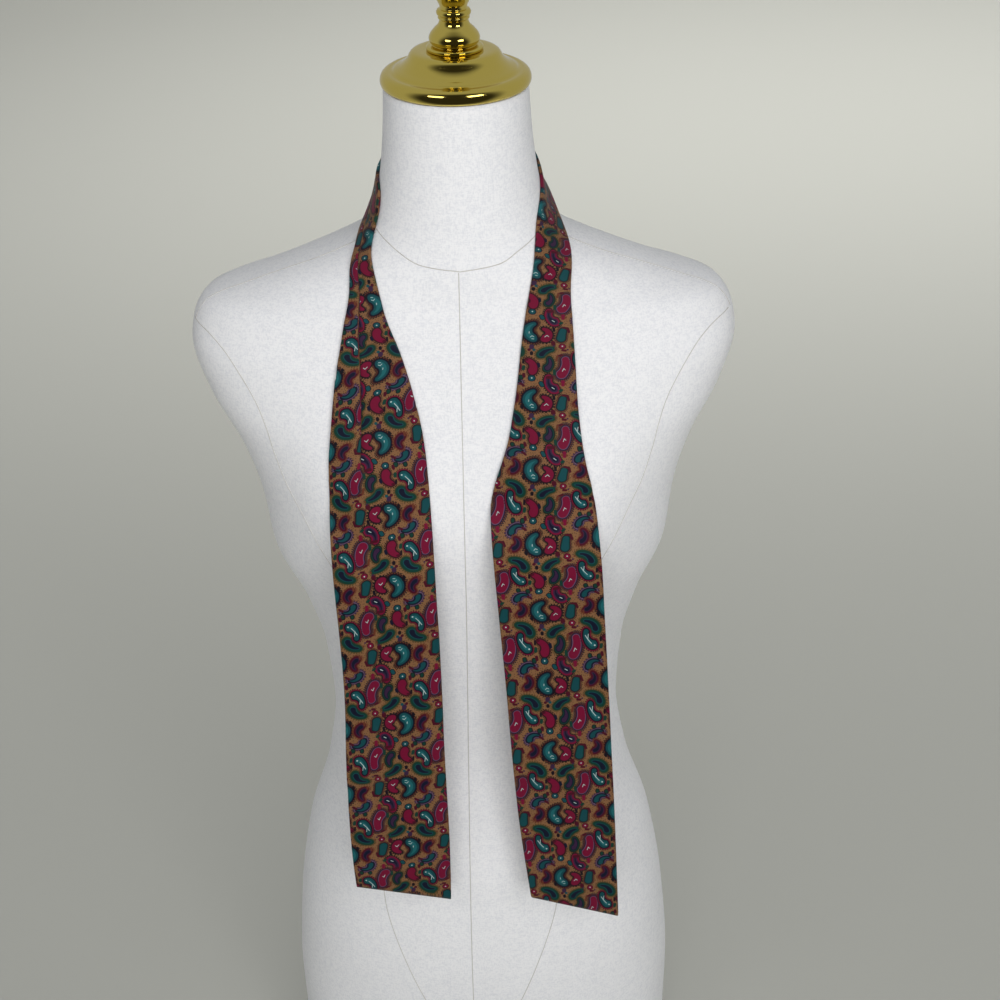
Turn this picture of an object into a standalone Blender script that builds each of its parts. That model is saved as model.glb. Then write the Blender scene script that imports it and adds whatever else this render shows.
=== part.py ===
"""A skinny scarf hung round the neck of a limbless, linen-covered dress form.

The form faces -Y and stands on its own flat bottom, whose centre is the origin.
All sizes are in metres.
"""

import math

import bmesh
import bpy
from mathutils import Vector
from mathutils.bvhtree import BVHTree

# --- dress form: driving sizes -------------------------------------------------

FORM_AROUND = 40
FORM_LEVEL_STEP = 0.020

# One row for each level of the torso and neck, from the floor up. Depths run from
# the plane of the neck's axis. squareness is 2 for an ellipse and more for a
# section with flatter sides.
FORM_SECTIONS = (
    # height, half_width, front_depth, back_depth, squareness
    (0.000, 0.1590, 0.094, 0.104, 2.2),
    (0.035, 0.1615, 0.098, 0.110, 2.2),
    (0.115, 0.1630, 0.102, 0.119, 2.2),
    (0.195, 0.1575, 0.107, 0.121, 2.2),
    (0.275, 0.1445, 0.106, 0.106, 2.1),
    (0.345, 0.1235, 0.096, 0.088, 2.0),
    (0.405, 0.1150, 0.088, 0.079, 2.0),
    (0.465, 0.1190, 0.093, 0.083, 2.0),
    (0.515, 0.1310, 0.100, 0.092, 2.0),
    (0.565, 0.1440, 0.105, 0.101, 2.1),
    (0.615, 0.1555, 0.104, 0.107, 2.2),
    (0.655, 0.1690, 0.098, 0.109, 2.3),
    (0.695, 0.1880, 0.088, 0.105, 2.4),
    (0.730, 0.1970, 0.078, 0.096, 2.4),
    (0.748, 0.1940, 0.070, 0.089, 2.3),
    (0.762, 0.1850, 0.065, 0.083, 2.2),
    (0.771, 0.1590, 0.061, 0.078, 2.1),
    (0.785, 0.1220, 0.059, 0.073, 2.0),
    (0.797, 0.0920, 0.057, 0.069, 2.0),
    (0.807, 0.0730, 0.055, 0.066, 2.0),
    (0.825, 0.0610, 0.053, 0.062, 2.0),
    (0.855, 0.0540, 0.051, 0.056, 2.0),
    (0.885, 0.0510, 0.050, 0.052, 2.0),
    (0.910, 0.0496, 0.0496, 0.0496, 2.0),
)

BUST_APART = 0.080
BUST_HEIGHT = 0.612
BUST_OUT = 0.030
BUST_ACROSS = 0.056
BUST_UP = 0.074
BUST_DOWN = 0.046
BUST_SIDE = 0.027
BUST_SIDE_HEIGHT = 0.570
BUST_SIDE_REACH = 0.040

# --- brass cap: driving sizes --------------------------------------------------

CAP_BASE = 0.9103
CAP_STEPS = 48
FINIAL_STEPS = 32

# Outer side of the neck plate from its top down, from the base's height up.
PLATE_PROFILE = (
    # radius, height
    (0.0000, 0.0238),
    (0.0240, 0.0238),
    (0.0285, 0.0232),
    (0.0305, 0.0218),
    (0.0330, 0.0178),
    (0.0370, 0.0140),
    (0.0412, 0.0118),
    (0.0428, 0.0104),
    (0.0470, 0.0099),
    (0.0500, 0.0085),
    (0.0515, 0.0050),
    (0.0508, 0.0015),
    (0.0494, 0.0000),
    (0.0000, 0.0000),
)

FINIAL_BASE = CAP_BASE + 0.0241
# Outer side of the finial from its top down: knob, ringed stem, ball and foot.
FINIAL_PROFILE = (
    # radius, height
    (0.0000, 0.0625),
    (0.0070, 0.0612),
    (0.0125, 0.0575),
    (0.0156, 0.0515),
    (0.0160, 0.0460),
    (0.0146, 0.0400),
    (0.0118, 0.0340),
    (0.0094, 0.0295),
    (0.0092, 0.0275),
    (0.0114, 0.0262),
    (0.0116, 0.0232),
    (0.0100, 0.0218),
    (0.0098, 0.0200),
    (0.0108, 0.0172),
    (0.0134, 0.0142),
    (0.0165, 0.0105),
    (0.0174, 0.0075),
    (0.0162, 0.0045),
    (0.0136, 0.0028),
    (0.0190, 0.0022),
    (0.0195, 0.0008),
    (0.0190, 0.0000),
    (0.0000, 0.0000),
)

# --- scarf: driving sizes ------------------------------------------------------

SCARF_CLEAR = 0.0018
SCARF_STATION = 0.013
SEAM_GAP = 0.0006
FOLDED_THICK = 0.0032
OPEN_THICK = 0.0016

# Where the two long edges lie on the neck, by turn round the form (90 is the
# middle of the back, 180 the viewer's left, 270 the front) and height.
NECK_ROWS = (
    # lower_turn, lower_height, upper_turn, upper_height
    (219, 0.7945, 229, 0.7970),
    (205, 0.8030, 216, 0.8080),
    (190, 0.8090, 204, 0.8180),
    (179, 0.8180, 193, 0.8300),
    (170, 0.8330, 182, 0.8460),
    (158, 0.8500, 168, 0.8640),
    (142, 0.8570, 150, 0.8770),
    (122, 0.8600, 126, 0.8850),
    (90, 0.8620, 90, 0.8880),
    (58, 0.8610, 54, 0.8860),
    (38, 0.8580, 30, 0.8790),
    (22, 0.8520, 11, 0.8660),
    (11, 0.8360, -3, 0.8490),
    (1, 0.8180, -18, 0.8340),
    (-11, 0.8070, -32, 0.8230),
    (-30, 0.7990, -42, 0.8110),
)

# The hanging stretches from the neck down: heights and places of both edges.
LEFT_ROWS = (
    # outer_x, outer_height, inner_x, inner_height
    (-0.0760, 0.7820, -0.0565, 0.7830),
    (-0.0800, 0.7650, -0.0530, 0.7660),
    (-0.0845, 0.7450, -0.0440, 0.7460),
    (-0.0885, 0.7240, -0.0370, 0.7250),
    (-0.0920, 0.6950, -0.0300, 0.6950),
    (-0.0950, 0.6600, -0.0265, 0.6600),
    (-0.0962, 0.6300, -0.0247, 0.6300),
    (-0.0950, 0.5950, -0.0235, 0.5950),
    (-0.0938, 0.5450, -0.0226, 0.5450),
    (-0.0935, 0.4950, -0.0223, 0.4950),
    (-0.0962, 0.4300, -0.0223, 0.4300),
    (-0.0972, 0.3550, -0.0215, 0.3550),
    (-0.0957, 0.3100, -0.0223, 0.2950),
)
RIGHT_ROWS = (
    # outer_x, outer_height, inner_x, inner_height
    (0.0748, 0.7810, 0.0482, 0.7870),
    (0.0758, 0.7640, 0.0440, 0.7660),
    (0.0770, 0.7430, 0.0403, 0.7440),
    (0.0778, 0.7230, 0.0375, 0.7230),
    (0.0790, 0.7020, 0.0340, 0.7020),
    (0.0812, 0.6820, 0.0298, 0.6820),
    (0.0845, 0.6630, 0.0228, 0.6630),
    (0.0895, 0.6450, 0.0172, 0.6450),
    (0.0918, 0.6270, 0.0170, 0.6270),
    (0.0940, 0.6020, 0.0185, 0.6020),
    (0.0965, 0.5550, 0.0215, 0.5550),
    (0.0995, 0.5000, 0.0250, 0.5000),
    (0.1025, 0.4400, 0.0282, 0.4400),
    (0.1060, 0.3700, 0.0330, 0.3700),
    (0.1100, 0.2730, 0.0410, 0.2950),
)
HANG_DEPTH = 0.1320
LEAVES_BUST = 0.620
OPENS_HEIGHT = 0.640
FOLDS_HEIGHT = 0.790

# Share of the width at each column of a section, and how full it is there.
SECTION_COLUMNS = (
    # across, fullness
    (0.00, 0.40),
    (0.05, 0.90),
    (0.20, 1.00),
    (0.35, 1.00),
    (0.50, 1.00),
    (0.65, 1.00),
    (0.80, 1.00),
    (0.95, 0.90),
    (1.00, 0.40),
)


def new_collection(name):
    collection = bpy.data.collections.new(name)
    bpy.context.scene.collection.children.link(collection)
    return collection


def new_material(name, color, roughness, metallic):
    material = bpy.data.materials.new(name)
    material.use_nodes = True
    shader = material.node_tree.nodes["Principled BSDF"]
    shader.inputs["Base Color"].default_value = (*color, 1.0)
    shader.inputs["Roughness"].default_value = roughness
    shader.inputs["Metallic"].default_value = metallic
    material.diffuse_color = (*color, 1.0)
    return material


def add_object(name, mesh, collection, material):
    for polygon in mesh.polygons:
        polygon.use_smooth = len(polygon.vertices) < 5
    mesh.materials.append(material)
    piece = bpy.data.objects.new(name, mesh)
    collection.objects.link(piece)
    return piece


def smooth_row(rows, height):
    """The row at this height, on a smooth curve through the table's rows."""
    last = len(rows) - 2
    i = 0
    while i < last and rows[i + 1][0] < height:
        i += 1
    r0, r1 = rows[max(i - 1, 0)], rows[i]
    r2, r3 = rows[i + 1], rows[min(i + 2, len(rows) - 1)]
    span = r2[0] - r1[0]
    t = (height - r1[0]) / span
    out = []
    for k in range(1, len(r1)):
        step = (r2[k] - r1[k]) / span
        slope1 = limited_slope(r0, r1, step, k)
        slope2 = limited_slope(r3, r2, step, k)
        a = 2 * t**3 - 3 * t**2 + 1
        b = t**3 - 2 * t**2 + t
        c = -2 * t**3 + 3 * t**2
        d = t**3 - t**2
        out.append(a * r1[k] + b * span * slope1 + c * r2[k] + d * span * slope2)
    return out


def limited_slope(beyond, here, step, k):
    """The slope at a row that neither overshoots nor kinks between its neighbours."""
    if beyond[0] == here[0]:
        return step
    other = (here[k] - beyond[k]) / (here[0] - beyond[0])
    if other * step <= 0:
        return 0.0
    return 2 * other * step / (other + step)


def form_point(turn, height):
    """The form's surface at this height; turn runs round it from the right side."""
    half_width, front, back, squareness = smooth_row(FORM_SECTIONS, height)
    power = 2 / squareness
    c, s = math.cos(turn), math.sin(turn)
    x = half_width * math.copysign(abs(c) ** power, c)
    depth = back if s > 0 else front
    y = depth * math.copysign(abs(s) ** power, s)
    if s < 0:
        side_rise = math.exp(-(((height - BUST_SIDE_HEIGHT) / BUST_SIDE_REACH) ** 2))
        x += BUST_SIDE * side_rise * abs(s) * c * abs(c)
        tall = BUST_UP if height > BUST_HEIGHT else BUST_DOWN
        rise = math.exp(-(((height - BUST_HEIGHT) / tall) ** 2))
        for side in (-1, 1):
            across = math.exp(-(((x - side * BUST_APART) / BUST_ACROSS) ** 2))
            y -= BUST_OUT * rise * across * abs(s) ** 0.5
    return Vector((x, y, height))


def form_levels():
    """Heights of the form's rings: at every row of the table and evenly between."""
    heights = [0.0]
    for (low, *_), (high, *_) in zip(FORM_SECTIONS, FORM_SECTIONS[1:]):
        steps = max(1, round((high - low) / FORM_LEVEL_STEP))
        heights += [low + (high - low) * (k + 1) / steps for k in range(steps)]
    return heights


def loft(name, rings):
    """A closed mesh through equal rings, with flat ends."""
    mesh = bpy.data.meshes.new(name)
    bm = bmesh.new()
    rows = [[bm.verts.new(p) for p in ring] for ring in rings]
    for low, high in zip(rows, rows[1:]):
        for k in range(len(low)):
            n = (k + 1) % len(low)
            bm.faces.new((low[k], low[n], high[n], high[k]))
    bm.faces.new(reversed(rows[0]))
    bm.faces.new(rows[-1])
    bmesh.ops.recalc_face_normals(bm, faces=bm.faces)
    bm.to_mesh(mesh)
    bm.free()
    return mesh


def add_turned(name, profile, base, steps, collection, material):
    """A profile in the +X half plane, turned round the upright axis."""
    mesh = bpy.data.meshes.new(name)
    points = [(radius, 0.0, base + height) for radius, height in profile]
    edges = [(k, k + 1) for k in range(len(points) - 1)]
    mesh.from_pydata(points, edges, [])
    piece = add_object(name, mesh, collection, material)
    screw = piece.modifiers.new("turn", "SCREW")
    screw.steps = steps
    screw.render_steps = steps
    screw.use_merge_vertices = True
    screw.merge_threshold = 0.00001
    screw.use_smooth_shade = True
    return piece


def drape(tree, point):
    """The point, moved out of the form until it clears it."""
    place, normal, _, _ = tree.find_nearest(point)
    if (point - place).dot(normal) < SCARF_CLEAR:
        return place + normal * SCARF_CLEAR
    return point


def neck_edge(turn, height):
    return form_point(math.radians(turn), height)


def fall_edge(tree, x, height):
    """An edge point on the form's front, or hanging free below the bust."""
    place, _, _, _ = tree.ray_cast(Vector((x, -1.0, height)), Vector((0.0, 1.0, 0.0)))
    if height > LEAVES_BUST + 0.03:
        return place
    ease = min(1.0, (LEAVES_BUST + 0.03 - height) / 0.05)
    ease = ease * ease * (3 - 2 * ease)
    return Vector((x, place.y * (1 - ease) - HANG_DEPTH * ease, height))


def scarf_rows(tree):
    """Lower or outer edge, upper or inner edge, and thickness, end to end."""
    rows = []
    for outer_x, outer_height, inner_x, inner_height in reversed(LEFT_ROWS):
        rows.append(
            (fall_edge(tree, outer_x, outer_height), fall_edge(tree, inner_x, inner_height))
        )
    for lower_turn, lower_height, upper_turn, upper_height in NECK_ROWS:
        rows.append((neck_edge(lower_turn, lower_height), neck_edge(upper_turn, upper_height)))
    for outer_x, outer_height, inner_x, inner_height in RIGHT_ROWS:
        rows.append(
            (fall_edge(tree, outer_x, outer_height), fall_edge(tree, inner_x, inner_height))
        )
    return rows


def thickness_at(height):
    share = (height - OPENS_HEIGHT) / (FOLDS_HEIGHT - OPENS_HEIGHT)
    share = max(0.0, min(1.0, share))
    return OPEN_THICK + (FOLDED_THICK - OPEN_THICK) * share


def lengths_along(rows):
    """Distance of each row from the first, along the middle of the strip."""
    out = [0.0]
    for (a0, b0), (a1, b1) in zip(rows, rows[1:]):
        out.append(out[-1] + ((a1 + b1) - (a0 + b0)).length / 2)
    return out


def row_at(rows, lengths, distance):
    """Both edges at a distance along the strip, on a smooth curve."""
    last = len(rows) - 2
    i = 0
    while i < last and lengths[i + 1] < distance:
        i += 1
    span = lengths[i + 1] - lengths[i]
    t = (distance - lengths[i]) / span
    out = []
    for edge in (0, 1):
        p1, p2 = rows[i][edge], rows[i + 1][edge]
        slope1 = slope2 = (p2 - p1) / span
        if i > 0:
            slope1 = (p2 - rows[i - 1][edge]) / (lengths[i + 1] - lengths[i - 1])
        if i < last:
            slope2 = (rows[i + 2][edge] - p1) / (lengths[i + 2] - lengths[i])
        out.append(
            p1 * (2 * t**3 - 3 * t**2 + 1)
            + slope1 * span * (t**3 - 2 * t**2 + t)
            + p2 * (3 * t**2 - 2 * t**3)
            + slope2 * span * (t**3 - t**2)
        )
    return out


def scarf_ring(tree, rows, lengths, distance):
    """One section: along the inner face from edge to edge and back on the outer."""
    outer, inner = row_at(rows, lengths, distance)
    ahead = row_at(rows, lengths, min(distance + 0.002, lengths[-1]))
    behind = row_at(rows, lengths, max(distance - 0.002, 0.0))
    onward = (ahead[0] + ahead[1]) - (behind[0] + behind[1])
    away = (inner - outer).cross(onward).normalized()
    thick = thickness_at((outer.z + inner.z) / 2)
    under = []
    over = []
    for across, fullness in SECTION_COLUMNS:
        point = drape(tree, outer.lerp(inner, across))
        under.append(point + away * thick * (1 - fullness) / 2)
        over.append(point + away * thick * (1 + fullness) / 2)
    return under + over[::-1]


def scarf_stretch(name, tree, rows, lengths, start, stop):
    count = max(2, round((stop - start) / SCARF_STATION))
    rings = []
    for k in range(count + 1):
        distance = start + (stop - start) * k / count
        rings.append(scarf_ring(tree, rows, lengths, distance))
    return loft(name, rings)


for old in list(bpy.data.objects):
    bpy.data.objects.remove(old)

parts = new_collection("skinny_scarf_on_dress_form")
linen = new_material("linen", (0.78, 0.77, 0.76), 0.85, 0.0)
brass = new_material("brass", (0.60, 0.44, 0.17), 0.25, 1.0)
printed_cloth = new_material("printed_cloth", (0.33, 0.20, 0.12), 0.55, 0.0)

# The neck and torso, covered in linen.
form_rings = []
for level in form_levels():
    turns = [math.tau * k / FORM_AROUND for k in range(FORM_AROUND)]
    form_rings.append([form_point(turn, level) for turn in turns])
form = add_object("form_torso", loft("form_torso", form_rings), parts, linen)

# The turned cap on the neck.
add_turned("cap_plate", PLATE_PROFILE, CAP_BASE, CAP_STEPS, parts, brass)
add_turned("cap_finial", FINIAL_PROFILE, FINIAL_BASE, FINIAL_STEPS, parts, brass)

# The scarf, one long strip in three stretches.
surface = bmesh.new()
surface.from_mesh(form.data)
form_tree = BVHTree.FromBMesh(surface)
surface.free()
edges = scarf_rows(form_tree)
reach = lengths_along(edges)
left_seam = reach[len(LEFT_ROWS) + 2]
right_seam = reach[len(LEFT_ROWS) + len(NECK_ROWS) - 3]
stretches = (
    ("scarf_left_end", 0.0, left_seam - SEAM_GAP / 2),
    ("scarf_neck_wrap", left_seam + SEAM_GAP / 2, right_seam - SEAM_GAP / 2),
    ("scarf_right_end", right_seam + SEAM_GAP / 2, reach[-1]),
)
for node, start, stop in stretches:
    stretch = scarf_stretch(node, form_tree, edges, reach, start, stop)
    add_object(node, stretch, parts, printed_cloth)
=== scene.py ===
"""A skinny scarf hung round the neck of a limbless, linen-covered dress form."""

import math

import bmesh
import bpy
import numpy as np
from mathutils import Euler, Matrix, Vector
from mathutils.bvhtree import BVHTree


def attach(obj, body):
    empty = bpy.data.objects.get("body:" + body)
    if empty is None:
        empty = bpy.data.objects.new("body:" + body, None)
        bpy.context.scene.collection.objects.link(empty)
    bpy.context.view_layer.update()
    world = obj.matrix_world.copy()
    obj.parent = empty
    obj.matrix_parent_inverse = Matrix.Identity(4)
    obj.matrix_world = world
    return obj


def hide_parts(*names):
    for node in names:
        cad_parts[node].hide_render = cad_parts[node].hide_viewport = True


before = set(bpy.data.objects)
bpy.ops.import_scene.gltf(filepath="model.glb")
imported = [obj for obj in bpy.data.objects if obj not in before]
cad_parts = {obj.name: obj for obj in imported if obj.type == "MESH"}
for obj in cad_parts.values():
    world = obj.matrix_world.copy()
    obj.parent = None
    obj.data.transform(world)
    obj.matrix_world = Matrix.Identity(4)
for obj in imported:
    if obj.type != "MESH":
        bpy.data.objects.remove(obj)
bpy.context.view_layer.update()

# The camera stands close in front, above the height of the cap and a little to the
# right of the form, and looks down at it. It is turned slightly, so that the form
# leans to the left in the picture.

CAMERA_PLACE = (0.0235, -1.195, 1.288)
CAMERA_DOWN = math.radians(30.6)
CAMERA_ROLL = math.radians(-1.3)
CAMERA_LENS = 64.8
CAMERA_SENSOR = 36.0

camera_data = bpy.data.cameras.new("camera")
camera_data.lens = CAMERA_LENS
camera_data.sensor_width = CAMERA_SENSOR
camera = bpy.data.objects.new("camera", camera_data)
tilt = Euler((math.radians(90) - CAMERA_DOWN, 0.0, 0.0)).to_matrix()
camera.rotation_euler = (tilt @ Matrix.Rotation(CAMERA_ROLL, 3, "Z")).to_euler()
camera.location = CAMERA_PLACE
bpy.context.scene.collection.objects.link(camera)
bpy.context.scene.camera = camera
bpy.context.scene.view_settings.view_transform = "Standard"

# The floor is one wide sheet of pale grey-green paper, rolled up into a low rim far
# from the form, so that it is plain all round and has no edge behind the form.

FLOOR_COLOR = "#acada8"
# Outer side of the turned floor from the middle out.
FLOOR_PROFILE = (
    # radius, height
    (0.0, 0.0),
    (3.6, 0.0),
    (4.4, 0.08),
    (5.1, 0.35),
    (5.6, 0.85),
    (5.8, 1.6),
    (5.8, 3.2),
)
FLOOR_STEPS = 96
FLOOR_CURVE_STEPS = 6
FLOOR_GAP = 0.0002
SAME_PLACE = 0.0000001


def srgb(code):
    """A colour from its sRGB hex code, in Blender's linear values."""
    parts = [int(code[k : k + 2], 16) / 255 for k in (1, 3, 5)]
    linear = [c / 12.92 if c <= 0.04045 else ((c + 0.055) / 1.055) ** 2.4 for c in parts]
    return (*linear, 1.0)


def set_inputs(node, inputs):
    """Give a node's inputs values or links, by name or in order.

    A node given as a value stands for its first live output.
    """
    for key, value in inputs.items() if isinstance(inputs, dict) else enumerate(inputs):
        if isinstance(value, bpy.types.Node):
            value = next(socket for socket in value.outputs if socket.enabled)
        if isinstance(value, bpy.types.NodeSocket):
            node.id_data.links.new(value, node.inputs[key])
        else:
            node.inputs[key].default_value = value


def add_node(tree, kind, inputs=(), **settings):
    """A new node with its settings made and its inputs given."""
    made = tree.nodes.new(kind)
    for name, value in settings.items():
        setattr(made, name, value)
    set_inputs(made, inputs)
    return made


def add_material(name):
    """A new node material: its tree and its one Principled shader."""
    material = bpy.data.materials.new(name)
    material.use_nodes = True
    return material, material.node_tree, material.node_tree.nodes["Principled BSDF"]


def on_curve(p1, slope1, p2, slope2, span, t):
    """The value at a share t of a span, on the smooth curve with these ends and slopes."""
    return (
        p1 * (2 * t**3 - 3 * t**2 + 1)
        + slope1 * span * (t**3 - 2 * t**2 + t)
        + p2 * (3 * t**2 - 2 * t**3)
        + slope2 * span * (t**3 - t**2)
    )


def smooth_profile(profile, per_span):
    """Points on a smooth curve through a profile, with its sharp corners kept where doubled."""
    points = [Vector(p) for p in profile]
    out = [points[0]]
    for k in range(len(points) - 1):
        p1, p2 = points[k], points[k + 1]
        span = (p2 - p1).length
        if span < SAME_PLACE:
            continue
        before = points[max(k - 1, 0)]
        after = points[min(k + 2, len(points) - 1)]
        slope1 = (p2 - before) / (span + (p1 - before).length)
        slope2 = (after - p1) / (span + (after - p2).length)
        shares = [(step + 1) / per_span for step in range(per_span)]
        out += [on_curve(p1, slope1, p2, slope2, span, t) for t in shares]
    return out


def turned_mesh(name, points, base, steps):
    """A mesh turned round the upright axis from a profile in the +X half plane."""
    outline = bpy.data.meshes.new(name)
    places = [(p.x, 0.0, base + p.y) for p in points]
    outline.from_pydata(places, [(k, k + 1) for k in range(len(places) - 1)], [])
    blank = bpy.data.objects.new(name, outline)
    bpy.context.scene.collection.objects.link(blank)
    screw = blank.modifiers.new("turn", "SCREW")
    screw.steps = steps
    screw.render_steps = steps
    screw.use_merge_vertices = True
    screw.merge_threshold = 0.000001
    graph = bpy.context.evaluated_depsgraph_get()
    turned = bpy.data.meshes.new_from_object(blank.evaluated_get(graph))
    bpy.data.objects.remove(blank)
    turned.name = name
    turned.shade_smooth()
    return turned


paper, _, shader = add_material("matt_background_paper")
# Matt paper of one plain colour, with no gloss.
set_inputs(
    shader, {"Base Color": srgb(FLOOR_COLOR), "Roughness": 0.95, "Specular IOR Level": 0.1}
)
floor_outline = smooth_profile(FLOOR_PROFILE, FLOOR_CURVE_STEPS)[::-1]
floor_mesh = turned_mesh("floor", floor_outline, -FLOOR_GAP, FLOOR_STEPS)
floor_mesh.materials.append(paper)
floor = bpy.data.objects.new("floor", floor_mesh)
floor.visible_glossy = False
bpy.context.scene.collection.objects.link(floor)

# A wide soft light stands in front, with two small softboxes outside it that show in
# the brass, a weak one overhead, and a wide one that washes the far paper.

# Each light: name, place, point it faces, width, height, power in watts, shows in gloss.
LIGHTS = (
    ("front_soft", (0.25, -2.1, 1.25), (0.0, 0.0, 0.58), 1.9, 1.1, 33.0, False),
    ("softbox_left", (-0.95, -1.55, 1.95), (0.0, 0.0, 0.6), 0.8, 0.44, 5.6, True),
    ("softbox_right", (0.95, -1.55, 1.95), (0.0, 0.0, 0.6), 0.8, 0.44, 7.4, True),
    ("overhead", (0.0, 0.2, 3.2), (0.0, 0.0, 0.0), 3.0, 3.0, 3.0, False),
    ("paper_wash", (0.9, 2.2, 2.6), (0.55, 4.3, 0.1), 3.4, 1.0, 125.0, False),
)
LIGHT_COLOR = (1.0, 0.985, 0.96)

for name, place, target, width, height, power, glossy in LIGHTS:
    light = bpy.data.lights.new(name, "AREA")
    light.shape = "RECTANGLE"
    light.size = width
    light.size_y = height
    light.energy = power
    light.color = LIGHT_COLOR
    lamp = bpy.data.objects.new(name, light)
    lamp.location = place
    lamp.rotation_euler = (Vector(target) - Vector(place)).to_track_quat("-Z", "Y").to_euler()
    lamp.visible_camera = False
    lamp.visible_glossy = glossy
    bpy.context.scene.collection.objects.link(lamp)

# The room round the lights: pale behind and beside the form, dim in front of it, with
# a soft change between these two places on the way from front to back.
ROOM_PALE = "#d2d4d4"
ROOM_DIM = "#3e3c38"
ROOM_DIM_TO = -0.62
ROOM_PALE_FROM = -0.08
ROOM_STRENGTH = 0.68

world = bpy.data.worlds.new("room")
world.use_nodes = True
bpy.context.scene.world = world
tree = world.node_tree
facing = add_node(tree, "ShaderNodeTexCoord").outputs["Generated"]
split = add_node(tree, "ShaderNodeSeparateXYZ", [facing])
side = add_node(
    tree,
    "ShaderNodeMapRange",
    {"Value": split.outputs["Y"], "From Min": ROOM_DIM_TO, "From Max": ROOM_PALE_FROM},
    interpolation_type="SMOOTHSTEP",
)
shades = {"Factor": side, "A": srgb(ROOM_DIM), "B": srgb(ROOM_PALE)}
walls = add_node(tree, "ShaderNodeMix", shades, data_type="RGBA")
set_inputs(tree.nodes["Background"], {"Color": walls, "Strength": ROOM_STRENGTH})

# The dress form's body: a smooth moulded neck and torso with a cotton-linen cover
# stretched over it, cut in panels and closed with fine butted seams.

COVER_AROUND = 192
COVER_LEVEL_STEP = 0.0050

# One row for each level of the torso and neck, from the floor up. Depths run from
# the plane of the neck's axis. squareness is 2 for an ellipse and more for a
# section with flatter sides.
FORM_SECTIONS = (
    # height, half_width, front_depth, back_depth, squareness
    (0.0, 0.159, 0.094, 0.104, 2.2),
    (0.035, 0.1615, 0.098, 0.11, 2.2),
    (0.115, 0.163, 0.102, 0.119, 2.2),
    (0.195, 0.1575, 0.107, 0.121, 2.2),
    (0.275, 0.1445, 0.106, 0.106, 2.1),
    (0.345, 0.1235, 0.096, 0.088, 2.0),
    (0.405, 0.115, 0.088, 0.079, 2.0),
    (0.465, 0.119, 0.093, 0.083, 2.0),
    (0.515, 0.131, 0.1, 0.092, 2.0),
    (0.565, 0.144, 0.105, 0.101, 2.1),
    (0.615, 0.1555, 0.104, 0.107, 2.2),
    (0.655, 0.169, 0.098, 0.109, 2.3),
    (0.695, 0.188, 0.088, 0.105, 2.4),
    (0.73, 0.197, 0.078, 0.096, 2.4),
    (0.748, 0.194, 0.07, 0.089, 2.3),
    (0.762, 0.185, 0.065, 0.083, 2.2),
    (0.771, 0.159, 0.061, 0.078, 2.1),
    (0.785, 0.122, 0.059, 0.073, 2.0),
    (0.797, 0.092, 0.057, 0.069, 2.0),
    (0.807, 0.073, 0.055, 0.066, 2.0),
    (0.825, 0.061, 0.053, 0.062, 2.0),
    (0.855, 0.054, 0.051, 0.056, 2.0),
    (0.885, 0.051, 0.05, 0.052, 2.0),
    (0.91, 0.0496, 0.0496, 0.0496, 2.0),
)
BUST_APART = 0.080
BUST_HEIGHT = 0.612
BUST_OUT = 0.030
BUST_ACROSS = 0.056
BUST_UP = 0.074
BUST_DOWN = 0.046
BUST_SIDE = 0.027
BUST_SIDE_HEIGHT = 0.570
BUST_SIDE_REACH = 0.040

LINEN_COLOR = "#e9eaee"
LINEN_SLUB = "#d9dbe2"
LINEN_THREAD_MM = 1.1
LINEN_STRETCH = 0.35
LINEN_SLUB_MM = 6.0


def limited_slope(beyond, here, step, k):
    """The slope at a row that neither overshoots nor kinks between its neighbours."""
    if beyond[0] == here[0]:
        return step
    other = (here[k] - beyond[k]) / (here[0] - beyond[0])
    if other * step <= 0:
        return 0.0
    return 2 * other * step / (other + step)


def smooth_row(rows, at):
    """The row at this value of the first column, on a smooth curve through the table."""
    last = len(rows) - 2
    i = 0
    while i < last and rows[i + 1][0] < at:
        i += 1
    r0, r1 = rows[max(i - 1, 0)], rows[i]
    r2, r3 = rows[i + 1], rows[min(i + 2, len(rows) - 1)]
    span = r2[0] - r1[0]
    t = min(max((at - r1[0]) / span, 0.0), 1.0)
    a = 2 * t**3 - 3 * t**2 + 1
    b = t**3 - 2 * t**2 + t
    c = -2 * t**3 + 3 * t**2
    d = t**3 - t**2
    out = []
    for k in range(1, len(r1)):
        step = (r2[k] - r1[k]) / span
        slope1 = limited_slope(r0, r1, step, k)
        slope2 = limited_slope(r3, r2, step, k)
        out.append(a * r1[k] + b * span * slope1 + c * r2[k] + d * span * slope2)
    return out


def form_point(turn, height):
    """The form's surface at this height; turn runs round it from the right side."""
    half_width, front, back, squareness = smooth_row(FORM_SECTIONS, height)
    power = 2 / squareness
    c, s = math.cos(turn), math.sin(turn)
    x = half_width * math.copysign(abs(c) ** power, c)
    depth = back if s > 0 else front
    y = depth * math.copysign(abs(s) ** power, s)
    if s < 0:
        side_rise = math.exp(-(((height - BUST_SIDE_HEIGHT) / BUST_SIDE_REACH) ** 2))
        x += BUST_SIDE * side_rise * abs(s) * c * abs(c)
        tall = BUST_UP if height > BUST_HEIGHT else BUST_DOWN
        rise = math.exp(-(((height - BUST_HEIGHT) / tall) ** 2))
        for side in (-1, 1):
            across = math.exp(-(((x - side * BUST_APART) / BUST_ACROSS) ** 2))
            y -= BUST_OUT * rise * across * abs(s) ** 0.5
    return Vector((x, y, height))


def add_piece(name, mesh, material, slot, *nodes):
    """A finished mesh as a piece of the part, standing for these nodes."""
    mesh.materials.clear()
    mesh.materials.append(material)
    piece = bpy.data.objects.new(name, mesh)
    bpy.context.scene.collection.objects.link(piece)
    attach(piece, "root")
    if nodes:
        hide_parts(*nodes)
    return piece


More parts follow.
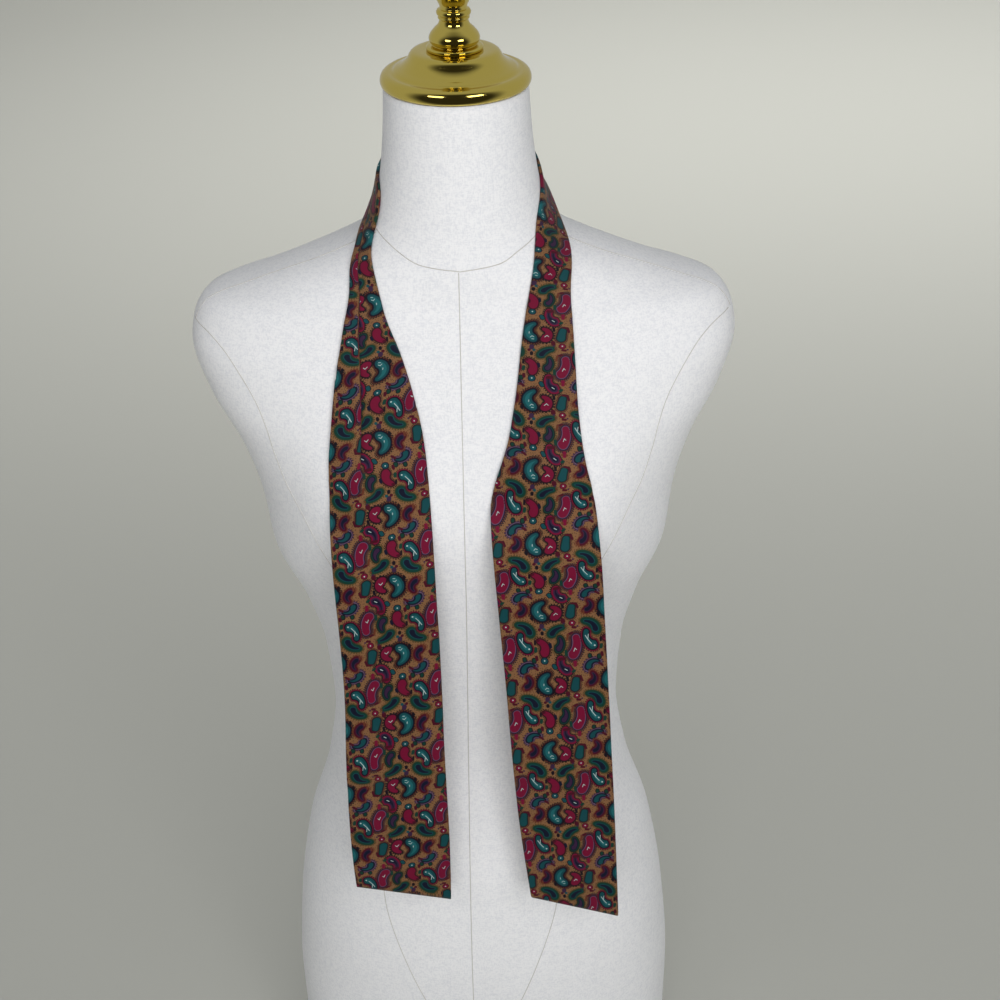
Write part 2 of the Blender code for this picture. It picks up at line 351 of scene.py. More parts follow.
levels = [0.0]
for (low, *_), (high, *_) in zip(FORM_SECTIONS, FORM_SECTIONS[1:]):
    steps = max(2, round((high - low) / COVER_LEVEL_STEP))
    levels += [low + (high - low) * (k + 1) / steps for k in range(steps)]
cover_mesh = bpy.data.meshes.new("linen_cover")
bm = bmesh.new()
rings = []
for level in levels:
    turns = [math.tau * k / COVER_AROUND for k in range(COVER_AROUND)]
    rings.append([bm.verts.new(form_point(turn, level)) for turn in turns])
for low, high in zip(rings, rings[1:]):
    for k in range(COVER_AROUND):
        n = (k + 1) % COVER_AROUND
        bm.faces.new((low[k], low[n], high[n], high[k]))
bm.faces.new(reversed(rings[0]))
bm.faces.new(rings[-1])
for face in bm.faces:
    face.smooth = len(face.verts) < 5
bm.to_mesh(cover_mesh)
bm.free()

linen, tree, shader = add_material("cotton_linen_cover")
# Plain-woven cotton and linen, matt and off-white, with thicker threads here and
# there. The threads are drawn about twice as coarse as real ones so that they show.
place = add_node(tree, "ShaderNodeTexCoord").outputs["Object"]
threads = []
for stretch in ((1.0, 1.0, LINEN_STRETCH), (LINEN_STRETCH, LINEN_STRETCH, 1.0)):
    along = add_node(tree, "ShaderNodeMapping", {"Vector": place, "Scale": stretch})
    grain = {"Vector": along, "Scale": 1000 / LINEN_THREAD_MM, "Detail": 2.0, "Roughness": 0.6}
    threads.append(add_node(tree, "ShaderNodeTexNoise", grain))
weave = add_node(tree, "ShaderNodeMath", threads, operation="MULTIPLY")
grain = {"Vector": place, "Scale": 1000 / LINEN_SLUB_MM, "Detail": 3.0}
slubs = add_node(tree, "ShaderNodeTexNoise", grain)
uneven = add_node(
    tree, "ShaderNodeMapRange", {"Value": weave, "From Min": 0.14, "From Max": 0.34}
)
patchy = add_node(
    tree, "ShaderNodeMapRange", {"Value": slubs, "From Min": 0.3, "From Max": 0.7, "To Max": 0.35}
)
mottle = add_node(tree, "ShaderNodeMath", [uneven, patchy], operation="ADD", use_clamp=True)
shades = {"Factor": mottle, "A": srgb(LINEN_SLUB), "B": srgb(LINEN_COLOR)}
tint = add_node(tree, "ShaderNodeMix", shades, data_type="RGBA")
relief = add_node(tree, "ShaderNodeBump", {"Strength": 0.5, "Distance": 0.0003, "Height": weave})
finish = {"Base Color": tint, "Normal": relief, "Roughness": 0.9, "Specular IOR Level": 0.25}
set_inputs(shader, finish | {"Sheen Weight": 0.15, "Sheen Roughness": 0.5})

cover = add_piece("linen_cover", cover_mesh, linen, "linen", "form_torso")

# The cover's seams: its panels are sewn together and the seams pressed open. Each shows as
# a fine line, drawn as a thin thread coloured with painted shade. They run round the neck,
# over the shoulders, down the middles, and down both sides of the bust and the back.

SEAM_STEP = 0.003
SEAM_RADIUS = 0.00035
SEAM_PROUD = 0.00012
SEAM_SIDES = 8
SEAM_CURVE_STEPS = 6
# The seam threads' colour is painted shade, for the shadow in each seam's groove.
SEAM_PAINTED_SHADE = "#c2c0be"
MIDDLE_PLACES = 30
NECKLINE_PLACES = 90
# The middle seam of the front wanders a little to one side below the bust.
FRONT_MIDDLE_SEAM = (
    # height, x
    (0.001, -0.006),
    (0.17, -0.008),
    (0.36, -0.006),
    (0.6, -0.002),
    (0.796, -0.001),
)
BACK_MIDDLE_SEAM = (
    # height, x
    (0.001, 0.0),
    (0.4, 0.0),
    (0.825, 0.0),
)
# The seams on each side run out from the hips, in at the waist, over the bust or the
# shoulder blade and out to the end of the shoulder.
FRONT_SIDE_SEAM = (
    # height, out from the middle seam
    (0.001, 0.008),
    (0.06, 0.014),
    (0.115, 0.027),
    (0.16, 0.043),
    (0.19, 0.053),
    (0.22, 0.062),
    (0.25, 0.069),
    (0.275, 0.071),
    (0.32, 0.069),
    (0.37, 0.063),
    (0.42, 0.061),
    (0.47, 0.066),
    (0.52, 0.075),
    (0.565, 0.087),
    (0.595, 0.098),
    (0.625, 0.115),
    (0.645, 0.127),
    (0.665, 0.134),
    (0.685, 0.139),
    (0.702, 0.145),
    (0.72, 0.155),
    (0.735, 0.166),
    (0.744, 0.178),
    (0.748, 0.191),
)
BACK_SIDE_SEAM = (
    # height, out from the middle seam
    (0.001, 0.072),
    (0.06, 0.076),
    (0.15, 0.085),
    (0.25, 0.086),
    (0.34, 0.074),
    (0.42, 0.068),
    (0.49, 0.08),
    (0.56, 0.102),
    (0.63, 0.125),
    (0.685, 0.145),
    (0.725, 0.168),
    (0.748, 0.192),
)
SHOULDER_SEAM = (
    # out from the middle, y, height
    (0.057, -0.026, 0.814),
    (0.061, -0.022, 0.812),
    (0.073, -0.016, 0.805),
    (0.102, -0.014, 0.792),
    (0.137, -0.01, 0.778),
    (0.168, -0.01, 0.767),
    (0.186, -0.014, 0.758),
    (0.192, -0.015, 0.748),
)
NECKLINE_SEAM = (
    # turn in degrees, height
    (-90, 0.7965),
    (-72, 0.8),
    (-58, 0.806),
    (-42, 0.812),
    (-25, 0.817),
    (0, 0.821),
    (45, 0.8245),
    (90, 0.8255),
    (135, 0.8245),
    (180, 0.8215),
    (205, 0.817),
    (225, 0.811),
    (238, 0.8055),
    (252, 0.8),
    (270, 0.7965),
)

cover_tree = BVHTree.FromPolygons(
    [v.co.copy() for v in cover_mesh.vertices],
    [tuple(p.vertices) for p in cover_mesh.polygons],
)


def on_side(x, height, side):
    """The place on the cover at this x and height, on its front (-1) or its back (1)."""
    place, _, _, _ = cover_tree.ray_cast(Vector((x, side, height)), Vector((0.0, -side, 0.0)))
    return place


seam_rows = []
for side, middle, beside in (
    (-1.0, FRONT_MIDDLE_SEAM, FRONT_SIDE_SEAM),
    (1.0, BACK_MIDDLE_SEAM, BACK_SIDE_SEAM),
):
    heights = np.linspace(middle[0][0], middle[-1][0], MIDDLE_PLACES)
    seam_rows.append([on_side(smooth_row(middle, h)[0], h, side) for h in heights])
    for hand in (-1.0, 1.0):
        row = [on_side(smooth_row(middle, h)[0] + hand * out, h, side) for h, out in beside]
        seam_rows.append(row)
for hand in (-1.0, 1.0):
    seam_rows.append([Vector((hand * out, y, height)) for out, y, height in SHOULDER_SEAM])
turns = np.linspace(NECKLINE_SEAM[0][0], NECKLINE_SEAM[-1][0], NECKLINE_PLACES)
seam_rows.append(
    [form_point(math.radians(turn), smooth_row(NECKLINE_SEAM, turn)[0]) for turn in turns]
)

# A thin round thread along each seam's path, coloured with the painted shade of the seam's
# groove, laid on the nearest cloth and sunk into it until it stands only a little proud.
SEAM_INPUTS = (
    ("Seams", "Geometry"),
    ("Cover", "Object"),
    ("Step", "Float"),
    ("Radius", "Float"),
    ("Proud", "Float"),
    ("Material", "Material"),
)

tree = bpy.data.node_groups.new("sewn_seam", "GeometryNodeTree")
for label, kind in SEAM_INPUTS:
    tree.interface.new_socket(name=label, in_out="INPUT", socket_type="NodeSocket" + kind)
tree.interface.new_socket(name="Sewn", in_out="OUTPUT", socket_type="NodeSocketGeometry")
given = add_node(tree, "NodeGroupInput").outputs
cloth = add_node(
    tree, "GeometryNodeObjectInfo", {"Object": given["Cover"]}, transform_space="ORIGINAL"
).outputs["Geometry"]
line = add_node(tree, "GeometryNodeMeshToCurve", {"Mesh": given["Seams"]})
spacing = {"Curve": line, "Length": given["Step"]}
line = add_node(tree, "GeometryNodeResampleCurve", spacing, mode="LENGTH")
nearest = []
for field in ("GeometryNodeInputPosition", "GeometryNodeInputNormal"):
    wanted = {"Mesh": cloth, "Value": add_node(tree, field)}
    nearest.append(
        add_node(tree, "GeometryNodeSampleNearestSurface", wanted, data_type="FLOAT_VECTOR")
    )
line = add_node(tree, "GeometryNodeSetPosition", {"Geometry": line, "Position": nearest[0]})
upright = {"Curve": line, "Normal": nearest[1]}
line = add_node(tree, "GeometryNodeSetCurveNormal", upright, mode="FREE")
ring = add_node(
    tree,
    "GeometryNodeCurvePrimitiveCircle",
    {"Resolution": SEAM_SIDES, "Radius": given["Radius"]},
)
sunk = add_node(
    tree, "ShaderNodeMath", [given["Proud"], given["Radius"]], operation="SUBTRACT"
)
moved = add_node(tree, "ShaderNodeCombineXYZ", {"Y": sunk})
ring = add_node(tree, "GeometryNodeTransform", {"Geometry": ring, "Translation": moved})
tube = add_node(
    tree, "GeometryNodeCurveToMesh", {"Curve": line, "Profile Curve": ring, "Fill Caps": True}
)
real = add_node(tree, "GeometryNodeRealizeInstances", {"Geometry": tube})
shaded = add_node(
    tree, "GeometryNodeSetMaterial", {"Geometry": real, "Material": given["Material"]}
)
add_node(tree, "NodeGroupOutput", {"Sewn": shaded})

seam_painted_shade, _, shader = add_material("linen_seam_painted_shade")
# Painted shade: a dull grey standing for the shadow at the bottom of a seam, where two edges meet.
set_inputs(
    shader, {"Base Color": srgb(SEAM_PAINTED_SHADE), "Roughness": 0.95, "Specular IOR Level": 0.1}
)

corners, links = [], []
for row in seam_rows:
    smooth = smooth_profile(row, SEAM_CURVE_STEPS)
    links += [(len(corners) + i, len(corners) + i + 1) for i in range(len(smooth) - 1)]
    corners += smooth
paths = bpy.data.meshes.new("seam_paths")
paths.from_pydata(corners, links, [])
holder = bpy.data.objects.new("seam_paths", paths)
bpy.context.scene.collection.objects.link(holder)
sewn = holder.modifiers.new("sewn", "NODES")
sewn.node_group = tree
values = {
    "Cover": cover,
    "Step": SEAM_STEP,
    "Radius": SEAM_RADIUS,
    "Proud": SEAM_PROUD,
    "Material": seam_painted_shade,
}
for item in tree.interface.items_tree:
    if item.name in values:
        sewn[item.identifier] = values[item.name]
graph = bpy.context.evaluated_depsgraph_get()
seam_mesh = bpy.data.meshes.new_from_object(holder.evaluated_get(graph))
bpy.data.objects.remove(holder)
seam_mesh.name = "cover_seams"
seam_mesh.shade_smooth()
# The threads coloured with painted seam shade join the part as a piece.
add_piece("cover_seams", seam_mesh, seam_painted_shade, "linen")

# The neck cap: a plate of polished, lacquered brass with a rolled rim and an ogee
# step, turned on a lathe, that closes the top of the neck.

CAP_BASE = 0.9103
CAP_STEPS = 128
CAP_CURVE_STEPS = 4
# Outer side of the plate from its top down, from the base's height up.
PLATE_PROFILE = (
    # radius, height
    (0.0, 0.0238),
    (0.02, 0.0238),
    (0.025, 0.0238),
    (0.0285, 0.0232),
    (0.0305, 0.0218),
    (0.033, 0.0178),
    (0.037, 0.014),
    (0.0412, 0.0118),
    (0.0426, 0.0106),
    (0.0426, 0.0106),
    (0.044, 0.0101),
    (0.047, 0.0099),
    (0.05, 0.0083),
    (0.0515, 0.005),
    (0.051, 0.0016),
    (0.0494, 0.0),
    (0.0494, 0.0),
    (0.0, 0.0),
)
BRASS_COLOR = "#d9c363"
# Patches of haze about 17 mm wide and waves about 9 mm long.
HAZE_PER_METRE = 60.0
WAVES_PER_METRE = 110.0

brass, tree, shader = add_material("polished_brass")
# Polished brass under clear lacquer: sharp reflections with the faintest haze and
# very slight waves left by the lathe.
place = add_node(tree, "ShaderNodeTexCoord").outputs["Object"]
patches = {"Vector": place, "Scale": HAZE_PER_METRE, "Detail": 3.0}
haze = add_node(tree, "ShaderNodeTexNoise", patches)
gloss = add_node(tree, "ShaderNodeMapRange", {"Value": haze, "To Min": 0.05, "To Max": 0.12})
patches = {"Vector": place, "Scale": WAVES_PER_METRE, "Detail": 1.0}
waves = add_node(tree, "ShaderNodeTexNoise", patches)
relief = add_node(tree, "ShaderNodeBump", {"Strength": 0.15, "Distance": 0.0003, "Height": waves})
finish = {"Base Color": srgb(BRASS_COLOR), "Metallic": 1.0}
set_inputs(shader, finish | {"Roughness": gloss, "Normal": relief})

plate_outline = smooth_profile(PLATE_PROFILE, CAP_CURVE_STEPS)
plate_mesh = turned_mesh("brass_cap_plate", plate_outline, CAP_BASE, CAP_STEPS)
add_piece("brass_cap_plate", plate_mesh, brass, "brass", "cap_plate")

# The finial: a turned brass knob on a ringed stem, screwed down on the plate.

FINIAL_BASE = CAP_BASE + 0.0241
FINIAL_STEPS = 96
# Outer side of the finial from its top down: knob, ringed stem, ball and foot.
FINIAL_PROFILE = (
    # radius, height
    (0.0, 0.0625),
    (0.0036, 0.0622),
    (0.007, 0.0612),
    (0.0103, 0.0596),
    (0.0132, 0.0567),
    (0.0156, 0.0515),
    (0.016, 0.046),
    (0.0146, 0.04),
    (0.0118, 0.034),
    (0.0096, 0.0298),
    (0.0092, 0.0275),
    (0.0092, 0.0275),
    (0.0106, 0.027),
    (0.0115, 0.0258),
    (0.0117, 0.0247),
    (0.0114, 0.0235),
    (0.0102, 0.0226),
    (0.0102, 0.0226),
    (0.0107, 0.0219),
    (0.0106, 0.0208),
    (0.0098, 0.02),
    (0.0098, 0.02),
    (0.0102, 0.0182),
    (0.011, 0.0166),
    (0.0134, 0.0142),
    (0.0162, 0.0108),
    (0.0173, 0.0075),
    (0.0162, 0.0045),
    (0.014, 0.0028),
    (0.014, 0.0028),
    (0.018, 0.0026),
    (0.0193, 0.0018),
    (0.0193, 0.0008),
    (0.019, 0.0),
    (0.019, 0.0),
    (0.0, 0.0),
)

finial_outline = smooth_profile(FINIAL_PROFILE, CAP_CURVE_STEPS)
finial_mesh = turned_mesh("brass_finial", finial_outline, FINIAL_BASE, FINIAL_STEPS)
add_piece("brass_finial", finial_mesh, brass, "brass", "cap_finial")

# The scarf: one long strip of printed cloth, folded double along its length, sewn
# into a flat tube and pressed. It hangs round the neck, where its long edges are
# turned under, and it opens to its full width on the bust.

STRIP_WIDTH = 0.073
STRIP_THICK = 0.0008
CLOTH_WALL = 0.00025
STRIP_CLEAR = 0.0004
STATION_STEP = 0.005
END_TAPER = 0.0004
# The strip's thickness at its end and at the next station in from it.
END_THIN = (0.70, 0.92)
ACROSS_SAMPLES = 41
FLAP_COLUMNS = 5
ARC_COLUMNS = 6
FACE_COLUMNS = 15
BEFORE_PLEAT = 0.36
PLEAT_COLUMNS = 5
ROUND_POINTS = 3
FLAP_ROOM = 0.0012
ARC_ROOM = 0.0015
FLAP_SHARE = 0.46
FLAP_GAP = 0.0001
FLAP_SETTLES_OVER = 0.006
GROOVE_HALF = 0.0006
GROOVE_DEPTH = 0.0008
PLEAT_FULL = 0.004

# Where the two long edges lie on the neck, by turn round the form (90 is the
# middle of the back, 180 the viewer's left, 270 the front) and height, and how far
# the lower edge stands off it.
NECK_ROWS = (
    # lower_turn, lower_height, lower_lift, upper_turn, upper_height
    (219, 0.7945, 0.0, 229, 0.797),
    (205, 0.803, 0.0, 214, 0.806),
    (190, 0.809, 0.001, 207, 0.817),
    (180, 0.819, 0.002, 204, 0.83),
    (172, 0.83, 0.0025, 198, 0.844),
    (160, 0.837, 0.0015, 176, 0.85),
    (142, 0.841, 0.0, 152, 0.856),
    (122, 0.844, 0.0, 126, 0.866),
    (90, 0.848, 0.0, 90, 0.872),
    (58, 0.846, 0.0, 54, 0.869),
    (38, 0.842, 0.001, 30, 0.86),
    (22, 0.838, 0.0035, 12, 0.852),
    (11, 0.83, 0.0045, -3, 0.844),
    (1, 0.817, 0.004, -18, 0.834),
    (-11, 0.807, 0.001, -32, 0.823),
    (-30, 0.799, 0.0, -42, 0.811),
)
# The hanging stretches from the neck down: heights and places of both edges.
LEFT_ROWS = (
    # outer_x, outer_height, inner_x, inner_height
    (-0.076, 0.782, -0.0565, 0.783),
    (-0.08, 0.765, -0.053, 0.766),
    (-0.0845, 0.745, -0.044, 0.746),
    (-0.0885, 0.724, -0.037, 0.725),
    (-0.092, 0.695, -0.03, 0.695),
    (-0.095, 0.66, -0.0265, 0.66),
    (-0.0962, 0.63, -0.0247, 0.63),
    (-0.095, 0.595, -0.0235, 0.595),
    (-0.0938, 0.545, -0.0226, 0.545),
    (-0.0935, 0.495, -0.0223, 0.495),
    (-0.0962, 0.43, -0.0223, 0.43),
    (-0.0972, 0.355, -0.0215, 0.355),
    (-0.0957, 0.31, -0.0223, 0.295),
)
RIGHT_ROWS = (
    # outer_x, outer_height, inner_x, inner_height
    (0.0748, 0.781, 0.0482, 0.787),
    (0.0758, 0.764, 0.044, 0.766),
    (0.077, 0.743, 0.0403, 0.744),
    (0.0778, 0.723, 0.0375, 0.723),
    (0.079, 0.702, 0.034, 0.702),
    (0.0812, 0.682, 0.0298, 0.682),
    (0.0845, 0.663, 0.0228, 0.663),
    (0.0895, 0.645, 0.0172, 0.645),
    (0.0918, 0.627, 0.017, 0.627),
    (0.094, 0.602, 0.0185, 0.602),
    (0.0965, 0.555, 0.0215, 0.555),
    (0.0995, 0.5, 0.025, 0.5),
    (0.1025, 0.44, 0.0282, 0.44),
    (0.106, 0.37, 0.033, 0.37),
    (0.11, 0.273, 0.041, 0.295),
)
# Below the bust the strip eases over from the form to this depth in front of it.
HANG_DEPTH = 0.132
HANG_FROM = 0.650
HANG_OVER = 0.050

# How the hidden width is shared out at each distance from the left end: turned
# under at the outer edge, taken up by the lengthwise pleat and turned under at the
# inner edge. The pleat lies at a share of what shows, and the folds have a radius.
FOLD_ROWS = (
    # distance, outer_share, pleat_share, inner_share, pleat_place, fold_radius
    (0.0, 0.5, 0.0, 0.5, 0.35, 0.001),
    (0.36, 0.5, 0.0, 0.5, 0.33, 0.001),
    (0.385, 0.0, 0.95, 0.05, 0.32, 0.0011),
    (0.41, 0.0, 0.9, 0.1, 0.32, 0.0012),
    (0.435, 0.02, 0.56, 0.42, 0.31, 0.0012),
    (0.456, 0.08, 0.41, 0.51, 0.31, 0.0012),
    (0.49, 0.21, 0.31, 0.48, 0.33, 0.001),
    (0.515, 0.3, 0.27, 0.43, 0.35, 0.0009),
    (0.56, 0.36, 0.16, 0.48, 0.38, 0.0006),
    (0.62, 0.46, 0.0, 0.54, 0.4, 0.0006),
    (0.78, 0.42, 0.0, 0.58, 0.4, 0.0006),
    (0.83, 0.4, 0.0, 0.6, 0.4, 0.001),
    (0.93, 0.42, 0.0, 0.58, 0.4, 0.0013),
    (0.96, 0.52, 0.0, 0.48, 0.4, 0.0013),
    (0.99, 0.5, 0.0, 0.5, 0.4, 0.001),
    (1.362, 0.5, 0.0, 0.5, 0.4, 0.001),
)


def eased(share):
    """A share from 0 to 1, kept in that range, with a soft start and stop."""
    share = min(1.0, max(0.0, share))
    return share * share * (3 - 2 * share)


def fall_edge(x, height):
    """An edge point on the form's front, or hanging free below the bust."""
    ease = eased((HANG_FROM - height) / HANG_OVER)
    return Vector((x, on_side(x, height, -1.0).y * (1 - ease) - HANG_DEPTH * ease, height))


def hanging(table):
    """The outer and the inner edge at each row of a hanging stretch."""
    return [(fall_edge(*row[:2]), fall_edge(*row[2:])) for row in table]


# The outer or lower edge and the inner or upper edge, from end to end.
rows = hanging(LEFT_ROWS[::-1])
for lower_turn, lower_height, lower_lift, upper_turn, upper_height in NECK_ROWS:
    lower = form_point(math.radians(lower_turn), lower_height)
    lower += Vector((lower.x, lower.y, 0.0)).normalized() * lower_lift
    rows.append((lower, form_point(math.radians(upper_turn), upper_height)))
rows += hanging(RIGHT_ROWS)
lengths = [0.0]
for (a0, b0), (a1, b1) in zip(rows, rows[1:]):
    lengths.append(lengths[-1] + ((a1 + b1) - (a0 + b0)).length / 2)


def row_at(distance):
    """Both edges at a distance along the strip, on a smooth curve."""
    last = len(rows) - 2
    i = 0
    while i < last and lengths[i + 1] < distance:
        i += 1
    span = lengths[i + 1] - lengths[i]
    out = []
    for edge in (0, 1):
        p1, p2 = rows[i][edge], rows[i + 1][edge]
        slope1 = slope2 = (p2 - p1) / span
        if i > 0:
            slope1 = (p2 - rows[i - 1][edge]) / (lengths[i + 1] - lengths[i - 1])
        if i < last:
            slope2 = (rows[i + 2][edge] - p1) / (lengths[i + 2] - lengths[i])
        out.append(on_curve(p1, slope1, p2, slope2, span, (distance - lengths[i]) / span))
    return out


whole = lengths[-1]
step_count = round(whole / STATION_STEP)
stations = [whole * k / step_count for k in range(1, step_count)]
stations = [0.0, END_TAPER] + stations + [whole - END_TAPER, whole]
station_count = len(stations)
folds = [smooth_row(FOLD_ROWS, distance) for distance in stations]

# The face that shows, as a grid of points in the middle of the strip's thickness,
# laid on the cover with room beneath it for what is turned under.
face = np.zeros((station_count, ACROSS_SAMPLES, 3))
room = np.zeros(station_count)
for k, distance in enumerate(stations):
    outer, inner = row_at(distance)
    hidden = max(0.0, STRIP_WIDTH - (inner - outer).length)
    radius = folds[k][4]
    curled = min(hidden / 2, math.pi * radius)
    under = radius * (1 - math.cos(min(curled / radius, math.pi)))
    room[k] = STRIP_CLEAR + STRIP_THICK / 2 + under
    for j in range(ACROSS_SAMPLES):
        face[k, j] = outer.lerp(inner, j / (ACROSS_SAMPLES - 1))


def lay_on_cover(grid):
    """The grid, moved out of the cover until each point has its station's room above it."""
    for k in range(grid.shape[0]):
        for j in range(grid.shape[1]):
            point = Vector(grid[k, j])
            place, normal, _, _ = cover_tree.find_nearest(point)
            if (point - place).dot(normal) < room[k]:
                grid[k, j] = place + normal * room[k]
    return grid


# Cloth bends softly: each point is drawn towards its neighbours a few times.
SOFTEN_PASSES = 4

face = lay_on_cover(face)
for _ in range(SOFTEN_PASSES):
    face[1:-1] = face[1:-1] * 0.5 + (face[:-2] + face[2:]) * 0.25
    face[:, 1:-1] = face[:, 1:-1] * 0.6 + (face[:, :-2] + face[:, 2:]) * 0.2
face = lay_on_cover(face)


def cloth_normals(grid):
    """The way out of the cloth at each point of the grid."""
    out = np.cross(np.gradient(grid, axis=1), np.gradient(grid, axis=0))
    return out / np.linalg.norm(out, axis=2, keepdims=True)


# Soft swells (raised) and troughs (sunk) left in the cloth from folding and handling,
# each longest in its own direction. They are listed one by one.
SWELLS = (
    # distance, share across, lean in degrees, half_length, half_width, raised
    (0.03, 0.3, 60, 0.03, 0.009, 0.0012),
    (0.105, 0.1, 78, 0.026, 0.007, -0.0018),
    (0.118, 0.22, 74, 0.03, 0.008, 0.0016),
    (0.16, 0.75, -62, 0.034, 0.01, 0.0015),
    (0.182, 0.7, -60, 0.032, 0.008, -0.0012),
    (0.235, 0.35, 40, 0.04, 0.01, 0.0014),
    (0.3, 0.7, -25, 0.05, 0.009, 0.0014),
    (0.35, 0.35, 12, 0.06, 0.008, 0.0016),
    (0.86, 0.6, -8, 0.06, 0.007, 0.0014),
    (0.95, 0.4, 10, 0.055, 0.008, 0.0016),
    (1.03, 0.68, -20, 0.045, 0.01, 0.0014),
    (1.1, 0.3, 55, 0.032, 0.009, 0.0015),
    (1.142, 0.12, 70, 0.028, 0.008, -0.0016),
    (1.165, 0.26, 66, 0.034, 0.009, 0.0016),
    (1.215, 0.78, -58, 0.034, 0.01, 0.0014),
    (1.262, 0.55, -70, 0.03, 0.008, -0.0012),
    (1.3, 0.4, 48, 0.03, 0.01, 0.0013),
)

at = np.array(stations)[:, None]
share_across = np.linspace(0.0, 1.0, ACROSS_SAMPLES)[None, :]
raised = np.zeros(face.shape[:2])
for distance, share, lean, half_length, half_width, height in SWELLS:
    ahead_by = at - distance
    beside_by = (share_across - share) * STRIP_WIDTH
    turn = math.radians(lean)
    on_line = ahead_by * math.cos(turn) + beside_by * math.sin(turn)
    off_line = beside_by * math.cos(turn) - ahead_by * math.sin(turn)
    raised += height * np.exp(-((on_line / half_length) ** 2) - (off_line / half_width) ** 2)
face = lay_on_cover(face + cloth_normals(face) * raised[:, :, None])

normals = cloth_normals(face)
reach = np.zeros((station_count, ACROSS_SAMPLES))
reach[:, 1:] = np.cumsum(np.linalg.norm(np.diff(face, axis=1), axis=2), axis=1)


def section(width, fold):
    """One section of the strip's middle: place across, height, normal and cloth place.

    Cloth place runs over the flat width of the strip, from its outer edge.
    """
    outer_share, pleat_share, inner_share, pleat_place, radius = fold
    half = STRIP_THICK / 2
    ends = [half, half]
    for _ in range(3):
        shown = width - ends[0] - ends[1]
        hidden = max(0.0, STRIP_WIDTH - shown)
        turned = [hidden * outer_share, hidden * inner_share]
        bends = [min(w / radius, math.pi) for w in turned]
        ends = [radius * math.sin(min(b, math.pi / 2)) + half for b in bends]
    pleat = hidden * pleat_share
    cloth_shown = STRIP_WIDTH - turned[0] - turned[1] - pleat
    scale = shown / cloth_shown

    def edge_side(side):
        """Columns from one free edge to the flat face, measured from that edge."""
        hide = turned[side]
        bend = bends[side]
        arc = bend * radius
        flap = hide - arc
        stop_flap = max(flap, FLAP_ROOM)
        stop_arc = max(hide, stop_flap + ARC_ROOM)
        spots = [stop_flap * i / FLAP_COLUMNS for i in range(FLAP_COLUMNS)]
        spots += [
            stop_flap + (stop_arc - stop_flap) * i / ARC_COLUMNS for i in range(ARC_COLUMNS + 1)
        ]
        squeeze = min(1.0, FLAP_SHARE * width / flap) if flap > 0 else 1.0
        out = []
        for q in spots:
            if q >= hide:
                x = ends[side] + (q - hide) * scale
                out.append((x, 0.0, 0.0, 1.0, q))
            elif q >= hide - arc:
                turn = (hide - q) / radius
                x = ends[side] - radius * math.sin(turn)
                h = -radius * (1 - math.cos(turn))
                out.append((x, h, -math.sin(turn), math.cos(turn), q))
            else:
                x = (flap - q) * squeeze
                lift = (2 * radius - STRIP_THICK - FLAP_GAP) * eased(x / FLAP_SETTLES_OVER)
                out.append((ends[side] + x, lift - 2 * radius, 0.0, -1.0, q))
        return out

    left = edge_side(0)
    right = edge_side(1)
    x0, x1 = left[-1][0], width - right[-1][0]
    q0, q1 = left[-1][4], STRIP_WIDTH - right[-1][4]
    xp = x0 + (x1 - x0) * pleat_place
    deep = GROOVE_DEPTH * min(1.0, pleat / PLEAT_FULL)
    before = round(FACE_COLUMNS * BEFORE_PLEAT)
    after = FACE_COLUMNS - before
    qp = q0 + (xp - GROOVE_HALF - x0) / scale
    middle = []
    for i in range(1, before):
        t = i / before
        middle.append((x0 + (xp - GROOVE_HALF - x0) * t, 0.0, 0.0, 1.0, q0 + (qp - q0) * t))
    for i in range(PLEAT_COLUMNS):
        t = i / (PLEAT_COLUMNS - 1)
        dip = math.sin(math.pi * t) * deep
        q = qp + (pleat + 2 * GROOVE_HALF / scale) * t
        middle.append((xp + GROOVE_HALF * (2 * t - 1), -dip, 0.0, 1.0, q))
    qr = middle[-1][4]
    for i in range(1, after):
        t = i / after
        middle.append((xp + GROOVE_HALF + (x1 - xp - GROOVE_HALF) * t, 0.0, 0.0, 1.0, qr + (q1 - qr) * t))
    mirrored = [(width - x, h, -nx, nh, STRIP_WIDTH - q) for x, h, nx, nh, q in reversed(right)]
    return left + middle + mirrored


def round_edge(spot, half, way, start):
    """The half round at a free edge, from one face of the strip over to the other.

    Way is 1 from the upper face and -1 from the lower one; start is its cloth place.
    """
    x, h, nx, nh, _ = spot
    out = []
    for i in range(1, ROUND_POINTS + 1):
        turn = math.pi * i / (ROUND_POINTS + 1)
        ex = way * half * (nx * math.cos(turn) + nh * math.sin(turn))
        eh = way * half * (nh * math.cos(turn) - nx * math.sin(turn))
        out.append((x + ex, h + eh, start + half * turn))
    return out


columns = len(section(STRIP_WIDTH, folds[0]))
loop_size = 2 * columns + 2 * ROUND_POINTS
points = np.zeros((station_count, loop_size, 3))
spread = np.zeros((station_count, loop_size))
for k in range(station_count):
    width = reach[k, -1]
    line = section(width, folds[k])
    from_end = min(k, station_count - 1 - k)
    thin = END_THIN[from_end] if from_end < len(END_THIN) else 1.0
    half = STRIP_THICK * thin / 2
    loop = [(x + nx * half, h + nh * half, q) for x, h, nx, nh, q in line]
    loop += round_edge(line[-1], half, 1, STRIP_WIDTH)
    loop += [
        (x - nx * half, h - nh * half, 2 * STRIP_WIDTH - q) for x, h, nx, nh, q in reversed(line)
    ]
    loop += round_edge(line[0], half, -1, -half * math.pi)
    across, out_by, spread[k] = np.array(loop).T
    spot = np.clip(across, 0.0, width)
    for axis in range(3):
        base = np.interp(spot, reach[k], face[k, :, axis])
        points[k, :, axis] = base + np.interp(spot, reach[k], normals[k, :, axis]) * out_by
    tangent = face[k, -1] - face[k, 0]
    points[k] += np.outer(across - spot, tangent / np.linalg.norm(tangent))

